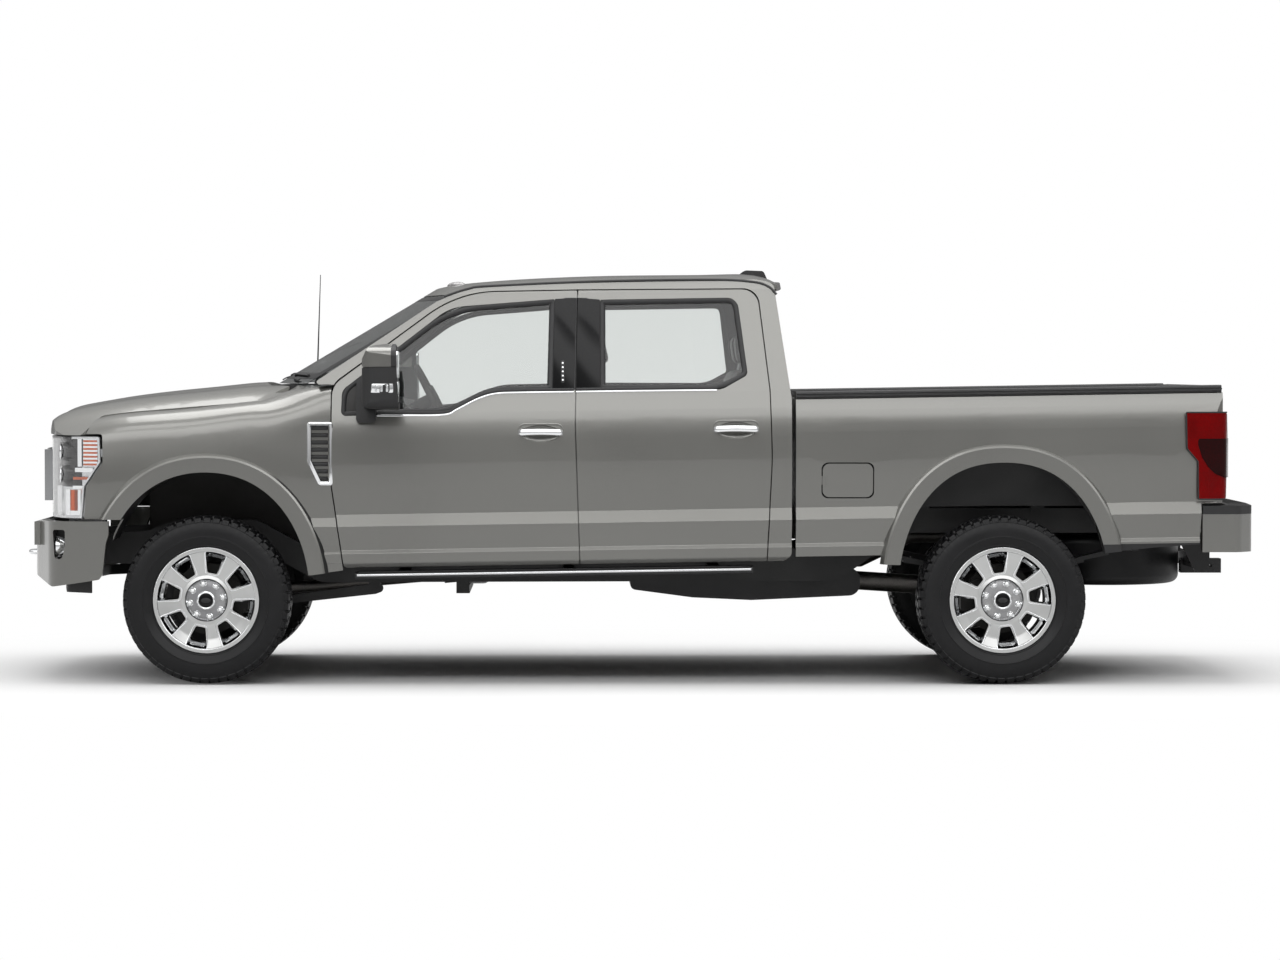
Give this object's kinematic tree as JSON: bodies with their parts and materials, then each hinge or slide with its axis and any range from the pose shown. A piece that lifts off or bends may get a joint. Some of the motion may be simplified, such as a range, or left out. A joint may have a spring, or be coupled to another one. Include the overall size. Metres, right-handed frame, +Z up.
{
  "type": "pickup truck",
  "caption": "Crew-cab four-wheel-drive pickup truck with a short cargo bed, steered and turning wheels, opening doors, hood, tailgate and fuel door, and towing mirrors.",
  "frame": {"origin": "on the ground under the middle of the overall length, width and height box's base", "axes": "+X towards the nose, +Y to the driver's (left) side, +Z up"},
  "size_m": [6.3645, 2.6678, 2.1334],
  "materials": {
    "body_paint": "metallic gloss",
    "clear_glass": "clear",
    "chrome": "polished",
    "lamp_lens": "clear",
    "red_lens": "gloss",
    "black_plastic": "grained matt",
    "chassis_black": "satin black",
    "cast_metal": "rough cast",
    "aluminium": "cast",
    "bare_steel": "dull",
    "tyre_rubber": "matt",
    "seat_leather": "grained"
  },
  "bodies": {
    "chassis": {"cab_sides": "body_paint", "cab_floor": "body_paint", "cab_back": "body_paint", "windshield": "clear_glass", "rear_window": "clear_glass", "roof_panel": "body_paint", "front_fenders": "body_paint", "grille": "chrome", "headlamps": "lamp_lens", "front_bumper": "body_paint", "air_dam": "black_plastic", "tow_hooks": "chrome", "frame": "chassis_black", "bed_floor": "body_paint", "bed_sides": "body_paint", "bed_rail_caps": "black_plastic", "tail_lamps": "red_lens", "rear_bumper": "body_paint", "hitch_receiver": "chassis_black", "front_axle": "cast_metal", "springs": "chassis_black", "rear_axle": "cast_metal", "engine_block": "cast_metal", "gearbox": "aluminium", "driveshafts": "bare_steel", "exhaust": "bare_steel", "fuel_tank": "black_plastic", "spare_wheel": "tyre_rubber", "running_boards": "black_plastic", "dashboard": "black_plastic", "steering_wheel": "seat_leather", "seats": "seat_leather", "roof_lamps": "lamp_lens", "antenna": "black_plastic", "radiator": "aluminium"},
    "hood": {"hood": "body_paint"},
    "tailgate": {"tailgate": "body_paint"},
    "fuel_door": {"fuel_door": "body_paint"},
    "tie_rod": {"tie_rod": "bare_steel"},
    "front_door_left": {"front_door_left": "body_paint", "front_door_glass_left": "clear_glass", "mirror_left": "black_plastic"},
    "rear_door_left": {"rear_door_left": "body_paint", "rear_door_glass_left": "clear_glass"},
    "knuckle_left": {"knuckle_left": "cast_metal"},
    "wheel_front_left": {"wheel_front_left": "chrome", "tyre_front_left": "tyre_rubber"},
    "wheel_rear_left": {"wheel_rear_left": "chrome", "tyre_rear_left": "tyre_rubber"},
    "front_door_right": {"front_door_right": "body_paint", "front_door_glass_right": "clear_glass", "mirror_right": "black_plastic"},
    "rear_door_right": {"rear_door_right": "body_paint", "rear_door_glass_right": "clear_glass"},
    "knuckle_right": {"knuckle_right": "cast_metal"},
    "wheel_front_right": {"wheel_front_right": "chrome", "tyre_front_right": "tyre_rubber"},
    "wheel_rear_right": {"wheel_rear_right": "chrome", "tyre_rear_right": "tyre_rubber"}
  },
  "joints": [
    {"name": "steer_left", "type": "hinge", "parent": "chassis", "child": "knuckle_left", "pos_m": [2.1975, 0.735, 0.43], "axis": [0, 0, 1], "range_deg": [-35, 35]},
    {"name": "steer_right", "type": "hinge", "parent": "chassis", "child": "knuckle_right", "pos_m": [2.1975, -0.735, 0.43], "axis": [0, 0, 1], "range_deg": [-35, 35]},
    {"name": "spin_front_left", "type": "hinge", "parent": "knuckle_left", "child": "wheel_front_left", "pos_m": [2.1975, 0.8675, 0.43], "axis": [0, 1, 0], "continuous": true},
    {"name": "spin_rear_left", "type": "hinge", "parent": "chassis", "child": "wheel_rear_left", "pos_m": [-1.8615, 0.8535, 0.43], "axis": [0, 1, 0], "continuous": true},
    {"name": "spin_front_right", "type": "hinge", "parent": "knuckle_right", "child": "wheel_front_right", "pos_m": [2.1975, -0.8675, 0.43], "axis": [0, 1, 0], "continuous": true},
    {"name": "spin_rear_right", "type": "hinge", "parent": "chassis", "child": "wheel_rear_right", "pos_m": [-1.8615, -0.8535, 0.43], "axis": [0, 1, 0], "continuous": true},
    {"name": "tie_rod_swing", "type": "hinge", "parent": "knuckle_left", "child": "tie_rod", "pos_m": [2.3975, 0.705, 0.43], "axis": [0, 0, 1], "range_deg": [-35, 35]},
    {"name": "open_front_door_left", "type": "hinge", "parent": "chassis", "child": "front_door_left", "pos_m": [1.556, 1, 1.2], "axis": [0, 0, -1], "range_deg": [0, 68]},
    {"name": "open_rear_door_left", "type": "hinge", "parent": "chassis", "child": "rear_door_left", "pos_m": [0.314, 1, 1.2], "axis": [0, 0, -1], "range_deg": [0, 68]},
    {"name": "open_front_door_right", "type": "hinge", "parent": "chassis", "child": "front_door_right", "pos_m": [1.556, -1, 1.2], "axis": [0, 0, 1], "range_deg": [0, 68]},
    {"name": "open_rear_door_right", "type": "hinge", "parent": "chassis", "child": "rear_door_right", "pos_m": [0.314, -1, 1.2], "axis": [0, 0, 1], "range_deg": [0, 68]},
    {"name": "open_hood", "type": "hinge", "parent": "chassis", "child": "hood", "pos_m": [1.79, 0, 1.56], "axis": [0, -1, 0], "range_deg": [0, 50]},
    {"name": "open_tailgate", "type": "hinge", "parent": "chassis", "child": "tailgate", "pos_m": [-2.953, 0, 0.978], "axis": [0, -1, 0], "range_deg": [0, 90]},
    {"name": "open_fuel_door", "type": "hinge", "parent": "chassis", "child": "fuel_door", "pos_m": [-0.941, 0.995, 1.0415], "axis": [0, 0, -1], "range_deg": [0, 90]}
  ],
  "couplings": [
    {"joint": "steer_right", "follows": "steer_left", "ratio": 1},
    {"joint": "tie_rod_swing", "follows": "steer_left", "ratio": -1}
  ]
}
